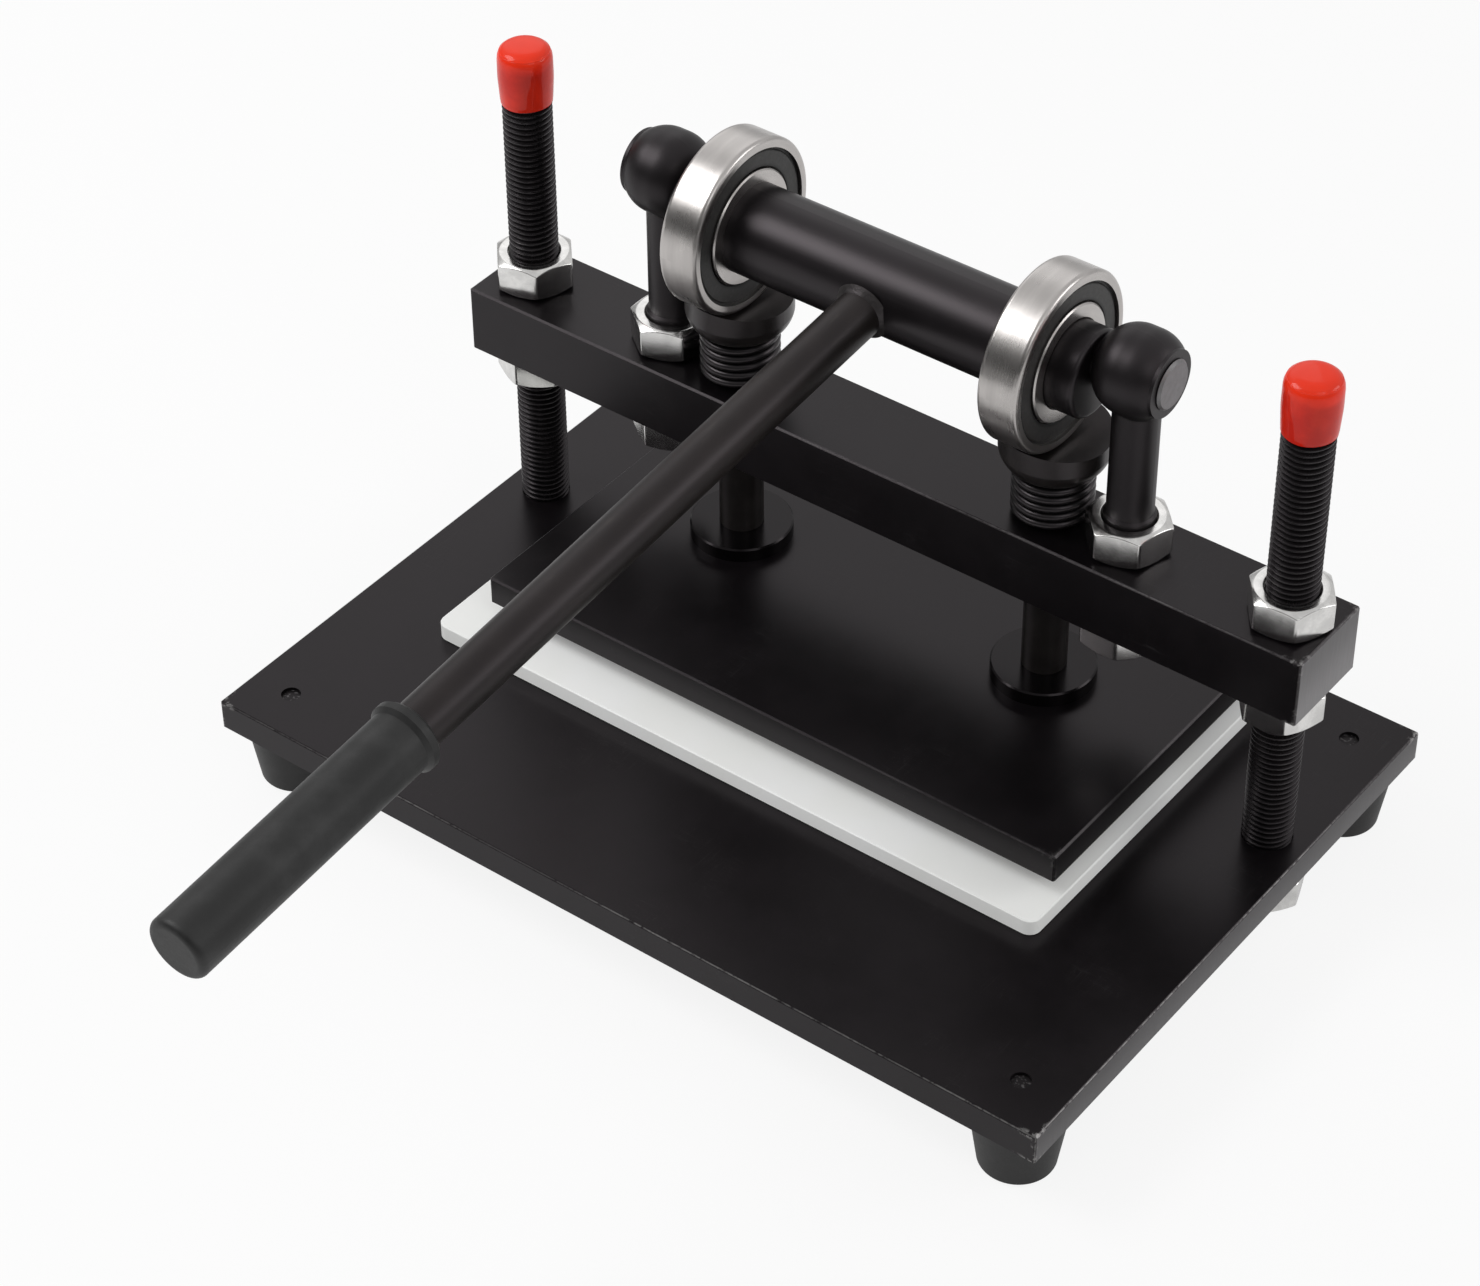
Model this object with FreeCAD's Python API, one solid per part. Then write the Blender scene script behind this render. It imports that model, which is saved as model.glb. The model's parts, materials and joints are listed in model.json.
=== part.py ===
import FreeCAD, Part
import math
import os

# Hand lever press that embosses leather belts.
# Millimetres, Z up, X along the cross beam, the lever points towards -Y.
# The origin is on the bench, under the middle of the base plate.

# Base plate and its feet
base_length = 390.0
base_depth = 268.0
base_thickness = 14.0
foot_height = 26.0
foot_top_radius = 18.5
foot_sole_radius = 15.0
foot_sole_round = 2.0
foot_inset = 20.0
foot_screw_radius = 3.9
foot_screw_sink = 1.4
screw_head_radius = 7.0
screw_head_height = 4.6
foot_recess_depth = 12.0

# Cross beam
beam_end = 17.5
beam_width = 42.0
beam_height = 30.0
beam_line = 49.0
beam_clear_height = 77.5
edge_chamfer = 0.8

# Threaded columns, nuts and caps
thread_diameter = 20.0
column_inset = 17.5
column_above_base = 216.5
thread_end_stub = 2.5
thread_end_chamfer = 1.5
nut_across_flats = 30.0
nut_height = 14.5
nut_chamfer_height = 1.9
nut_chamfer_angle = 30.0
nut_sides = 6
cap_height = 25.0
cap_wall = 1.2
cap_crown = 1.6
cap_round = 6.0

# Eye rods that carry the shaft above the beam
rod_offset = 33.8
rod_rise = 80.0
rod_shank_diameter = 18.2
rod_neck_fillet = 1.6
eye_radius = 17.4
eye_waist = 4.0
eye_round = 14.0
eye_flat_radius = 11.0
eye_collar_radius = 13.4
eye_collar_reach = 13.2

# Eccentric shaft
journal_diameter = 20.0
journal_overhang = 1.5
eccentricity = 7.2
eccentric_angle = 230.0
shaft_diameter = 36.5
seat_end_round = 2.0
shaft_chamfer = 1.0

# Ball bearings with rubber seals, 35 x 72 x 17
bearing_bore = 35.0
bearing_diameter = 72.0
bearing_width = 17.0
bearing_inset = 1.1
bearing_corner = 1.9
inner_ring_corner = 0.55
ball_count = 9
ball_diameter = 10.9
race_radius = 5.75
inner_land_drop = 3.3
outer_land_drop = 3.35
seal_seat_step = 1.9
seal_seat_depth = 1.9
seal_sink = 0.9
seal_rim_depth = 0.6
seal_rim = 1.0
seal_slope = 0.6
cage_wall = 2.8
cage_front = 3.0

# Lever and grip
lever_angle = 185.4
lever_diameter = 19.0
lever_reach = 388.0
lever_socket_depth = 9.0
lever_weld = 1.2
grip_start = 275.0
grip_wall = 2.8
grip_end_wall = 4.0
grip_bead = 1.6
grip_bead_length = 6.0

# Plungers with saddle heads, flanges and return springs
plunger_spacing = 147.0
stem_diameter = 18.0
saddle_diameter = 43.0
saddle_trough_radius = 90.0
saddle_height = 15.1
saddle_cup_height = 8.6
saddle_neck_diameter = 31.0
saddle_flare_radius = 12.0
flange_diameter = 42.0
flange_thickness = 6.0
flange_chamfer = 0.6
stem_thread_diameter = 8.0
stem_thread_depth = 20.0
stem_thread_grip = 16.0
spring_outer_diameter = 32.0
spring_wire = 3.3
spring_turns = 5
spring_start_angle = 60.0
spring_samples = 9

# Press plate and cutting board
press_length = 272.0
press_depth = 170.0
press_thickness = 13.0
press_top_height = 27.5
board_length = 290.0
board_depth = 180.0
board_thickness = 7.5
board_offset = -6.5
board_front = -52.5
board_corner = 5.0
board_chamfer = 0.5

# Fits
running_gap = 0.05
thread_gap = 0.05
seat_gap = 0.02
bolt_gap = 0.3
saddle_gap = 0.5
seal_gap = 0.3
seat_end_gap = 0.9
cage_gap = 0.2

# Turn of each nut about its rod, in degrees
nut_turns = {
    "column_nut_upper_left": 11.0,
    "column_nut_upper_right": 7.0,
    "column_nut_lower_left": 33.0,
    "column_nut_lower_right": 7.0,
    "base_nut_left": 20.0,
    "base_nut_right": 50.0,
    "rod_nut_upper_left": 22.0,
    "rod_nut_upper_right": 15.0,
    "rod_nut_lower_left": 25.0,
    "rod_nut_lower_right": 55.0,
}

# Levels and lines that follow from the sizes above
column_spacing = base_length - 2 * column_inset
beam_length = column_spacing + 2 * beam_end
rod_spacing = plunger_spacing + 2 * rod_offset
bearing_spacing = plunger_spacing - 2 * bearing_inset
bearing_pitch = (bearing_bore + bearing_diameter) / 4
inner_land = bearing_pitch - inner_land_drop
outer_land = bearing_pitch + outer_land_drop
seal_seat = outer_land + seal_seat_step
cage_rear = bearing_width / 2 - seal_seat_depth - cage_gap
eye_reach = eye_waist / 2 + math.sqrt(eye_round**2 - (eye_flat_radius - eye_radius + eye_round) ** 2)
base_top = foot_height + base_thickness
beam_bottom = base_top + beam_clear_height
beam_top = beam_bottom + beam_height
journal_height = beam_top + rod_rise
thread_radius = thread_diameter / 2
shaft_line = beam_line + eccentricity * math.cos(math.radians(eccentric_angle))
shaft_height = journal_height + eccentricity * math.sin(math.radians(eccentric_angle))
press_top = base_top + press_top_height
press_bottom = press_top - press_thickness
sides = {"left": -1, "right": 1}
ends = {"front": -1, "rear": 1}

X_AXIS = FreeCAD.Vector(1, 0, 0)
Z_AXIS = FreeCAD.Vector(0, 0, 1)


def cylinder(radius, height, x, y, z, axis=Z_AXIS):
    return Part.makeCylinder(radius, height, FreeCAD.Vector(x, y, z), axis)


def box(length, depth, height, x, y, z):
    """Box with its middle at x, y and its underside at z."""
    corner = FreeCAD.Vector(x - length / 2, y - depth / 2, z)
    return Part.makeBox(length, depth, height, corner)


def outline(steps, place):
    """Closed wire from points and arcs; an arc is a (middle, end) pair of points."""
    edges = []
    last = steps[0]
    for step in steps[1:] + [steps[0]]:
        if isinstance(step[0], tuple):
            middle, end = step
            edges.append(Part.Arc(place(*last), place(*middle), place(*end)).toShape())
            last = end
        else:
            edges.append(Part.LineSegment(place(*last), place(*step)).toShape())
            last = step
    return Part.Wire(edges)


def turned(wire, centre, axis):
    """Full revolution of an outline, with its faces pointing outwards."""
    solid = Part.Face(wire).revolve(centre, axis, 360)
    return solid if solid.Volume > 0 else solid.reversed()


def turned_upright(steps, x, y, z):
    """Solid of revolution about a vertical axis from (radius, height) steps."""
    wire = outline(steps, lambda r, h: FreeCAD.Vector(x + r, y, z + h))
    return turned(wire, FreeCAD.Vector(x, y, z), Z_AXIS)


def turned_along_x(steps, x, y, z):
    """Solid of revolution about an axis along X from (radius, distance) steps."""
    wire = outline(steps, lambda r, d: FreeCAD.Vector(x + d, y, z + r))
    return turned(wire, FreeCAD.Vector(x, y, z), X_AXIS)


def arc_middle(centre, radius, angle):
    turn = math.radians(angle)
    return (centre[0] + radius * math.cos(turn), centre[1] + radius * math.sin(turn))


def bulge(start, end, radius):
    """Middle of the arc of this radius from start to end that bends to the right of the way."""
    across, up = end[0] - start[0], end[1] - start[1]
    chord = math.hypot(across, up)
    height = radius - math.sqrt(radius**2 - chord**2 / 4)
    middle = ((start[0] + end[0]) / 2, (start[1] + end[1]) / 2)
    return (middle[0] + height * up / chord, middle[1] - height * across / chord)


def base_plate():
    plate = box(base_length, base_depth, base_thickness, 0, 0, foot_height)
    plate = plate.makeChamfer(edge_chamfer, plate.Edges)
    for side in sides.values():
        x = side * column_spacing / 2
        bore = cylinder(thread_radius + thread_gap, base_thickness, x, beam_line, foot_height)
        plate = plate.cut(bore)
        for end in ends.values():
            x, y = foot_centre(side, end)
            hole = foot_screw_radius + thread_gap
            plate = plate.cut(cylinder(hole, base_thickness, x, y, foot_height))
    return plate


def foot_centre(side, end):
    return side * (base_length / 2 - foot_inset), end * (base_depth / 2 - foot_inset)


def foot(side, end):
    """Tapered rubber foot, hollow underneath for its screw head."""
    x, y = foot_centre(side, end)
    recess = screw_head_radius + bolt_gap
    sole_bend = (foot_sole_radius - foot_sole_round, foot_sole_round)
    steps = [
        (recess, 0),
        (foot_sole_radius - foot_sole_round, 0),
        (arc_middle(sole_bend, foot_sole_round, -45), (foot_sole_radius, foot_sole_round)),
        (foot_top_radius, foot_height),
        (foot_screw_radius + bolt_gap, foot_height),
        (foot_screw_radius + bolt_gap, foot_recess_depth),
        (recess, foot_recess_depth),
    ]
    return turned_upright(steps, x, y, 0)


def foot_screw(side, end):
    """Pan head screw that runs up through the foot into the base plate."""
    x, y = foot_centre(side, end)
    head_bottom = foot_recess_depth - screw_head_height
    tip = base_top - foot_screw_sink
    round_start = screw_head_radius - screw_head_height / 2
    steps = [
        (0, head_bottom),
        (round_start, head_bottom),
        (screw_head_radius, foot_recess_depth - screw_head_height / 2),
        (screw_head_radius, foot_recess_depth),
        (foot_screw_radius, foot_recess_depth),
        (foot_screw_radius, tip),
        (0, tip),
    ]
    return turned_upright(steps, x, y, 0)


def foot_screws():
    return Part.Compound([foot_screw(side, end) for side in sides.values() for end in ends.values()])


def beam():
    bar = box(beam_length, beam_width, beam_height, 0, beam_line, beam_bottom)
    bar = bar.makeChamfer(edge_chamfer, bar.Edges)
    bores = [
        (column_spacing, thread_radius + bolt_gap),
        (rod_spacing, thread_radius + bolt_gap),
        (plunger_spacing, stem_diameter / 2 + running_gap),
    ]
    for spacing, radius in bores:
        for side in sides.values():
            x = side * spacing / 2
            bar = bar.cut(cylinder(radius, beam_height, x, beam_line, beam_bottom))
    return bar


def column(side):
    """Threaded column, screwed through the base plate into the nut under it."""
    bottom = foot_height - nut_height - thread_end_stub
    top = base_top + column_above_base
    inner = thread_radius - thread_end_chamfer
    steps = [
        (0, bottom),
        (inner, bottom),
        (thread_radius, bottom + thread_end_chamfer),
        (thread_radius, top - thread_end_chamfer),
        (inner, top),
        (0, top),
    ]
    return turned_upright(steps, side * column_spacing / 2, beam_line, 0)


def column_cap(side):
    """Soft cap pushed over the top of the column."""
    inner = thread_radius + thread_gap
    outer = inner + cap_wall
    top = cap_height
    seat = cap_height - cap_crown
    bend = (outer - cap_round, top - cap_round)
    steps = [
        (inner, 0),
        (outer, 0),
        (outer, top - cap_round),
        (arc_middle(bend, cap_round, 45), (outer - cap_round, top)),
        (0, top),
        (0, seat),
        (inner - thread_end_chamfer, seat),
        (inner, seat - thread_end_chamfer),
    ]
    foot_of_cap = base_top + column_above_base - seat
    return turned_upright(steps, side * column_spacing / 2, beam_line, foot_of_cap)


def nut(name, x, z):
    """Hexagon nut, the corners of both faces turned off at a low angle, bore countersunk."""
    turn = math.radians(nut_turns[name])
    corner = nut_across_flats / 2 / math.cos(math.pi / nut_sides)
    rim = []
    for index in range(nut_sides + 1):
        angle = turn + index * 2 * math.pi / nut_sides
        rim.append(FreeCAD.Vector(x + corner * math.cos(angle), beam_line + corner * math.sin(angle), z))
    blank = Part.Face(Part.makePolygon(rim)).extrude(Z_AXIS * nut_height)
    face_radius = corner - nut_chamfer_height / math.tan(math.radians(nut_chamfer_angle))
    bore = thread_radius + thread_gap
    sink = thread_end_chamfer / 2
    envelope = [
        (bore + sink, 0),
        (face_radius, 0),
        (corner, nut_chamfer_height),
        (corner, nut_height - nut_chamfer_height),
        (face_radius, nut_height),
        (bore + sink, nut_height),
        (bore, nut_height - sink),
        (bore, sink),
    ]
    return blank.common(turned_upright(envelope, x, beam_line, z))


def ball_arc(radius):
    """Middle and reach of the eye's rounding, from its full radius down to this one."""
    centre = (eye_radius - eye_round, eye_waist / 2)
    angle = math.degrees(math.acos((radius - centre[0]) / eye_round))
    return arc_middle(centre, eye_round, angle / 2), arc_middle(centre, eye_round, angle)[1]


def eye_rod(side):
    """Ball shaped eye on a plain shank, threaded where it passes the beam. The eye has a flat
    towards the bearing and a collar at its outer end."""
    x = side * rod_spacing / 2
    waist = eye_waist / 2
    inner_middle, inner_reach = ball_arc(eye_flat_radius)
    outer_middle, outer_reach = ball_arc(eye_collar_radius)
    steps = [
        (0, -inner_reach),
        (eye_flat_radius, -inner_reach),
        ((inner_middle[0], -inner_middle[1]), (eye_radius, -waist)),
        (eye_radius, waist),
        (outer_middle, (eye_collar_radius, outer_reach)),
        (eye_collar_radius, eye_collar_reach),
        (0, eye_collar_reach),
    ]
    steps = [facing(step, side) for step in steps]
    head = turned_along_x(steps, x, beam_line, journal_height)
    thread_top = beam_top + nut_height + thread_end_stub
    thread_bottom = beam_bottom - nut_height - thread_end_stub
    shank_radius = rod_shank_diameter / 2
    inner = thread_radius - thread_end_chamfer
    steps = [
        (0, thread_bottom),
        (inner, thread_bottom),
        (thread_radius, thread_bottom + thread_end_chamfer),
        (thread_radius, thread_top - thread_radius + shank_radius),
        (shank_radius, thread_top),
        (shank_radius, journal_height),
        (0, journal_height),
    ]
    rod = head.fuse(turned_upright(steps, x, beam_line, 0)).removeSplitter()
    neck = [edge for edge in rod.Edges if is_neck(edge)]
    rod = rod.makeFillet(rod_neck_fillet, neck)
    bore_radius = journal_diameter / 2 + running_gap
    start = x - eye_radius
    return rod.cut(cylinder(bore_radius, 2 * eye_radius, start, beam_line, journal_height, X_AXIS))


def facing(step, side):
    """An outline's point, or its pair of points, with its distance turned to face that side."""
    if isinstance(step[0], tuple):
        return tuple(facing(point, side) for point in step)
    return (step[0], side * step[1])


def is_neck(edge):
    """True on the edges where the eye meets its shank."""
    limits = edge.BoundBox
    high = journal_height - rod_shank_diameter / 2
    return journal_height - eye_radius < limits.ZMin and limits.ZMax < high


def lever_direction():
    turn = math.radians(lever_angle)
    return FreeCAD.Vector(0, math.cos(turn), math.sin(turn))


def along_lever(distance):
    return FreeCAD.Vector(0, shaft_line, shaft_height) + lever_direction() * distance


def eccentric_shaft():
    """Thick shaft with bearing seats; its end journals lie off its own axis."""
    shoulder = (bearing_spacing - bearing_width) / 2
    seat_end = rod_spacing / 2 - eye_reach - seat_end_gap
    journal_end = rod_spacing / 2 + eye_collar_reach + journal_overhang
    seat_radius = bearing_bore / 2
    bend = (seat_radius - seat_end_round, seat_end - seat_end_round)
    round_middle = arc_middle(bend, seat_end_round, 45)
    steps = [
        (0, -seat_end),
        (bend[0], -seat_end),
        ((round_middle[0], -round_middle[1]), (seat_radius, -bend[1])),
        (seat_radius, -shoulder),
        (shaft_diameter / 2, -shoulder),
        (shaft_diameter / 2, shoulder),
        (seat_radius, shoulder),
        (seat_radius, bend[1]),
        (round_middle, (bend[0], seat_end)),
        (0, seat_end),
    ]
    shaft = turned_along_x(steps, 0, shaft_line, shaft_height)
    journal_radius = journal_diameter / 2
    tip = journal_radius - shaft_chamfer
    steps = [
        (0, -journal_end),
        (tip, -journal_end),
        (journal_radius, -journal_end + shaft_chamfer),
        (journal_radius, journal_end - shaft_chamfer),
        (tip, journal_end),
        (0, journal_end),
    ]
    shaft = shaft.fuse(turned_along_x(steps, 0, beam_line, journal_height)).removeSplitter()
    floor = along_lever(shaft_diameter / 2 - lever_socket_depth)
    socket_radius = lever_diameter / 2 + seat_gap
    return shaft.cut(Part.makeCylinder(socket_radius, shaft_diameter, floor, lever_direction()))


def lever_bar():
    start = shaft_diameter / 2 - lever_socket_depth
    bar = Part.makeCylinder(lever_diameter / 2, lever_reach - start, along_lever(start), lever_direction())
    rims = [edge for edge in bar.Edges if edge.Closed]
    return bar.makeChamfer(shaft_chamfer, rims)


def lever_weld_bead():
    """Fillet weld where the bar leaves the shaft."""
    root = shaft_diameter / 2 + lever_weld
    cone = Part.makeCone(
        lever_diameter / 2 + lever_weld * 2,
        lever_diameter / 2,
        lever_weld * 2,
        along_lever(root - lever_weld * 2),
        lever_direction(),
    )
    length = lever_diameter * 2
    shaft = cylinder(shaft_diameter / 2, length, -length / 2, shaft_line, shaft_height, X_AXIS)
    bar = Part.makeCylinder(lever_diameter / 2, shaft_diameter, along_lever(0), lever_direction())
    return cone.cut(shaft).cut(bar)


def lever_grip():
    """Rubber sleeve with a thicker bead at its open end and a closed outer end."""
    inner = lever_diameter / 2 + seat_gap
    outer = inner + grip_wall
    length = lever_reach + grip_end_wall - grip_start
    steps = [
        (inner, 0),
        (outer, 0),
        (outer + grip_bead, grip_bead),
        (outer + grip_bead, grip_bead_length - grip_bead),
        (outer, grip_bead_length),
        (outer, length - grip_wall),
        (arc_middle((outer - grip_wall, length - grip_wall), grip_wall, 45), (outer - grip_wall, length)),
        (0, length),
        (0, length - grip_end_wall),
        (inner, length - grip_end_wall),
    ]
    sleeve = turned_upright(steps, 0, 0, 0)
    turn = FreeCAD.Rotation(Z_AXIS, lever_direction())
    sleeve.Placement = FreeCAD.Placement(along_lever(grip_start), turn)
    return sleeve


def bearing_x(side):
    return side * bearing_spacing / 2


def race_arc(land_radius, sign):
    """Ends and deepest point of the ball groove cut into a land."""
    reach = math.sqrt(race_radius**2 - (land_radius - bearing_pitch) ** 2)
    return reach, (bearing_pitch + sign * race_radius, 0)


def outer_ring(side):
    outer = bearing_diameter / 2
    half = bearing_width / 2
    shelf = half - seal_seat_depth
    reach, deepest = race_arc(outer_land, 1)
    flat = outer - bearing_corner
    side_end = half - bearing_corner
    steps = [
        (seal_seat, -half),
        (flat, -half),
        (arc_middle((flat, -side_end), bearing_corner, -45), (outer, -side_end)),
        (outer, side_end),
        (arc_middle((flat, side_end), bearing_corner, 45), (flat, half)),
        (seal_seat, half),
        (seal_seat, shelf),
        (outer_land, shelf),
        (outer_land, reach),
        (deepest, (outer_land, -reach)),
        (outer_land, -shelf),
        (seal_seat, -shelf),
    ]
    return turned_along_x(steps, bearing_x(side), shaft_line, shaft_height)


def inner_ring(side):
    bore = bearing_bore / 2 + seat_gap
    half = bearing_width / 2
    reach, deepest = race_arc(inner_land, -1)
    bore_edge = bore + inner_ring_corner
    land_edge = inner_land - inner_ring_corner
    steps = [
        (bore_edge, -half),
        (land_edge, -half),
        (inner_land, -half + inner_ring_corner),
        (inner_land, -reach),
        (deepest, (inner_land, reach)),
        (inner_land, half - inner_ring_corner),
        (land_edge, half),
        (bore_edge, half),
        (bore, half - inner_ring_corner),
        (bore, -half + inner_ring_corner),
    ]
    return turned_along_x(steps, bearing_x(side), shaft_line, shaft_height)


def seal(side, face):
    """Rubber ring pressed into the outer ring, lower at its rim and at its lip."""
    inner = inner_land + seal_gap
    top = bearing_width / 2 - seal_sink
    bottom = bearing_width / 2 - seal_seat_depth
    low = top - seal_rim_depth
    steps = [
        (inner, bottom),
        (seal_seat, bottom),
        (seal_seat, low),
        (seal_seat - seal_rim, low),
        (seal_seat - seal_rim - seal_slope, top),
        (inner + seal_slope, top),
        (inner, low),
    ]
    steps = [(radius, face * distance) for radius, distance in steps]
    return turned_along_x(steps, bearing_x(side), shaft_line, shaft_height)


def seals(side):
    return Part.Compound([seal(side, face) for face in (-1, 1)])


def ball_centres(side):
    centres = []
    for index in range(ball_count):
        angle = 2 * math.pi * index / ball_count
        y = shaft_line + bearing_pitch * math.cos(angle)
        z = shaft_height + bearing_pitch * math.sin(angle)
        centres.append(FreeCAD.Vector(bearing_x(side), y, z))
    return centres


def balls(side):
    return Part.Compound([Part.makeSphere(ball_diameter / 2, centre) for centre in ball_centres(side)])


def cage(side):
    """Crown cage: a ring open towards the middle of the shaft, with a pocket for each ball."""
    steps = [
        (bearing_pitch - cage_wall / 2, -cage_front),
        (bearing_pitch + cage_wall / 2, -cage_front),
        (bearing_pitch + cage_wall / 2, cage_rear),
        (bearing_pitch - cage_wall / 2, cage_rear),
    ]
    steps = [(radius, side * distance) for radius, distance in steps]
    ring = turned_along_x(steps, bearing_x(side), shaft_line, shaft_height)
    middle = FreeCAD.Vector(bearing_x(side), shaft_line, shaft_height)
    pocket_radius = ball_diameter / 2 + running_gap
    pockets = [
        Part.makeCylinder(pocket_radius, bearing_diameter / 2, middle, centre - middle)
        for centre in ball_centres(side)
    ]
    return ring.cut(pockets)


def saddle_bottom():
    """Lowest level of the trough that carries the bearing."""
    offset = beam_line - shaft_line
    fall = saddle_trough_radius - bearing_diameter / 2 - saddle_gap
    return shaft_height + math.sqrt(fall**2 - offset**2) - saddle_trough_radius


def plunger(side):
    """Saddle head and stem turned from one bar; the trough holds the bearing."""
    x = side * plunger_spacing / 2
    head_bottom = saddle_bottom() - saddle_height
    cup_top = head_bottom + saddle_cup_height
    outer = saddle_diameter / 2
    neck = saddle_neck_diameter / 2
    stem = stem_diameter / 2
    flare = bulge((neck, head_bottom), (outer, cup_top), saddle_flare_radius)
    steps = [
        (0, press_top),
        (stem, press_top),
        (stem, head_bottom),
        (neck, head_bottom),
        (flare, (outer, cup_top)),
        (outer, saddle_bottom() + outer),
        (0, saddle_bottom() + outer),
    ]
    blank = turned_upright(steps, x, beam_line, 0)
    trough_height = saddle_bottom() + saddle_trough_radius
    length = saddle_diameter * 2
    trough = cylinder(saddle_trough_radius, length, x - length / 2, beam_line, trough_height, X_AXIS)
    tapped = cylinder(stem_thread_diameter / 2 + thread_gap, stem_thread_depth, x, beam_line, press_top)
    return blank.cut(trough).cut(tapped)


def flange(side):
    """Collar on the foot of the stem that spreads the force over the plate."""
    stem = stem_diameter / 2 + thread_gap
    outer = flange_diameter / 2
    steps = [
        (stem, 0),
        (outer, 0),
        (outer, flange_thickness - flange_chamfer),
        (outer - flange_chamfer, flange_thickness),
        (stem, flange_thickness),
    ]
    return turned_upright(steps, side * plunger_spacing / 2, beam_line, press_top)


def plate_screw(side):
    """Countersunk screw from under the press plate into the stem."""
    radius = stem_thread_diameter / 2
    reach = press_thickness + stem_thread_grip
    steps = [
        (0, 0),
        (radius * 2, 0),
        (radius, radius),
        (radius, reach),
        (0, reach),
    ]
    return turned_upright(steps, side * plunger_spacing / 2, beam_line, press_bottom)


def plate_screws():
    return Part.Compound([plate_screw(side) for side in sides.values()])


def press_plate():
    plate = box(press_length, press_depth, press_thickness, 0, beam_line, press_bottom)
    plate = plate.makeChamfer(edge_chamfer, plate.Edges)
    radius = stem_thread_diameter / 2 + thread_gap
    for side in sides.values():
        steps = [
            (0, 0),
            (radius * 2, 0),
            (radius, radius),
            (radius, press_thickness),
            (0, press_thickness),
        ]
        plate = plate.cut(turned_upright(steps, side * plunger_spacing / 2, beam_line, press_bottom))
    return plate


def cutting_board():
    middle = board_front + board_depth / 2
    board = box(board_length, board_depth, board_thickness, board_offset, middle, base_top)
    board = board.makeFillet(board_corner, [edge for edge in board.Edges if upright(edge)])
    rims = [edge for edge in board.Edges if not upright(edge)]
    return board.makeChamfer(board_chamfer, rims)


def upright(edge):
    limits = edge.BoundBox
    return limits.ZLength > board_thickness / 2


def tangent_arc(start, heading, finish):
    """Arc from start, leaving along heading, that ends at finish."""
    chord = finish - start
    across = chord - heading * chord.dot(heading)
    inward = across * (1 / across.Length)
    radius = chord.dot(chord) / (2 * chord.dot(inward))
    centre = start + inward * radius
    bulge = (start + finish) * 0.5 - centre
    middle = centre + bulge * (radius / bulge.Length)
    return Part.Arc(start, middle, finish)


def biarc(start, heading, finish, arrival):
    """Two arcs that join start to finish and keep both directions."""
    gap = finish - start
    total = heading + arrival
    spread = 2 * (1 - heading.dot(arrival))
    along = gap.dot(total)
    reach = (math.sqrt(along * along + spread * gap.dot(gap)) - along) / spread
    joint = (start + finish + (heading - arrival) * reach) * 0.5
    first = tangent_arc(start, heading, joint)
    second = tangent_arc(finish, arrival * -1, joint)
    second_back = Part.Arc(joint, second.value((second.FirstParameter + second.LastParameter) / 2), finish)
    return first, second_back


def spring_path(side):
    """Edges of the spring's centre line, half a turn to each pair of arcs, with straight ends."""
    x = side * plunger_spacing / 2
    radius = (spring_outer_diameter - spring_wire) / 2
    low = beam_top + spring_wire / 2
    high = saddle_bottom() - saddle_height - spring_wire / 2
    pitch = (high - low) / spring_turns
    rise = pitch / (2 * math.pi)
    steps = spring_turns * 2

    def point(step):
        angle = math.radians(spring_start_angle) + step * math.pi
        z = low + pitch * step / 2
        return FreeCAD.Vector(x + radius * math.cos(angle), beam_line + radius * math.sin(angle), z)

    def heading(step):
        angle = math.radians(spring_start_angle) + step * math.pi
        way = FreeCAD.Vector(-radius * math.sin(angle), radius * math.cos(angle), rise)
        return way * (1 / way.Length)

    def level(way):
        flat = FreeCAD.Vector(way.x, way.y, 0)
        return flat * (spring_wire / flat.Length)

    edges = [Part.LineSegment(point(0) - level(heading(0)), point(0)).toShape()]
    for step in range(steps):
        pair = biarc(point(step), heading(step), point(step + 1), heading(step + 1))
        edges += [arc.toShape() for arc in pair]
    edges.append(Part.LineSegment(point(steps), point(steps) + level(heading(steps))).toShape())
    return edges


def spring(side):
    edges = spring_path(side)
    start = edges[0].Vertexes[0].Point
    way = edges[0].tangentAt(edges[0].FirstParameter)
    section = Part.Wire([Part.Circle(start, way, spring_wire / 2).toShape()])
    return Part.Wire(edges).makePipeShell([section], True, False)


def least_self_gap(side):
    """Least clear space between neighbouring turns, measured on points of the centre line."""
    points = []
    travelled = 0
    for edge in spring_path(side):
        places = edge.discretize(spring_samples)
        for before, after in zip(places, places[1:]):
            travelled += (after - before).Length
            points.append((travelled, after))
    skip = spring_outer_diameter
    least = math.inf
    for first_run, first in points:
        for second_run, second in points:
            if second_run - first_run > skip:
                least = min(least, (second - first).Length)
    return least - spring_wire


def nuts():
    """Every nut by name: two on each column about the beam, one under the base, two on each rod."""
    result = {}
    for word, side in sides.items():
        column_x = side * column_spacing / 2
        rod_x = side * rod_spacing / 2
        places = {
            f"column_nut_upper_{word}": (column_x, beam_top),
            f"column_nut_lower_{word}": (column_x, beam_bottom - nut_height),
            f"base_nut_{word}": (column_x, foot_height - nut_height),
            f"rod_nut_upper_{word}": (rod_x, beam_top),
            f"rod_nut_lower_{word}": (rod_x, beam_bottom - nut_height),
        }
        for name, (x, z) in places.items():
            result[name] = nut(name, x, z)
    return result


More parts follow.
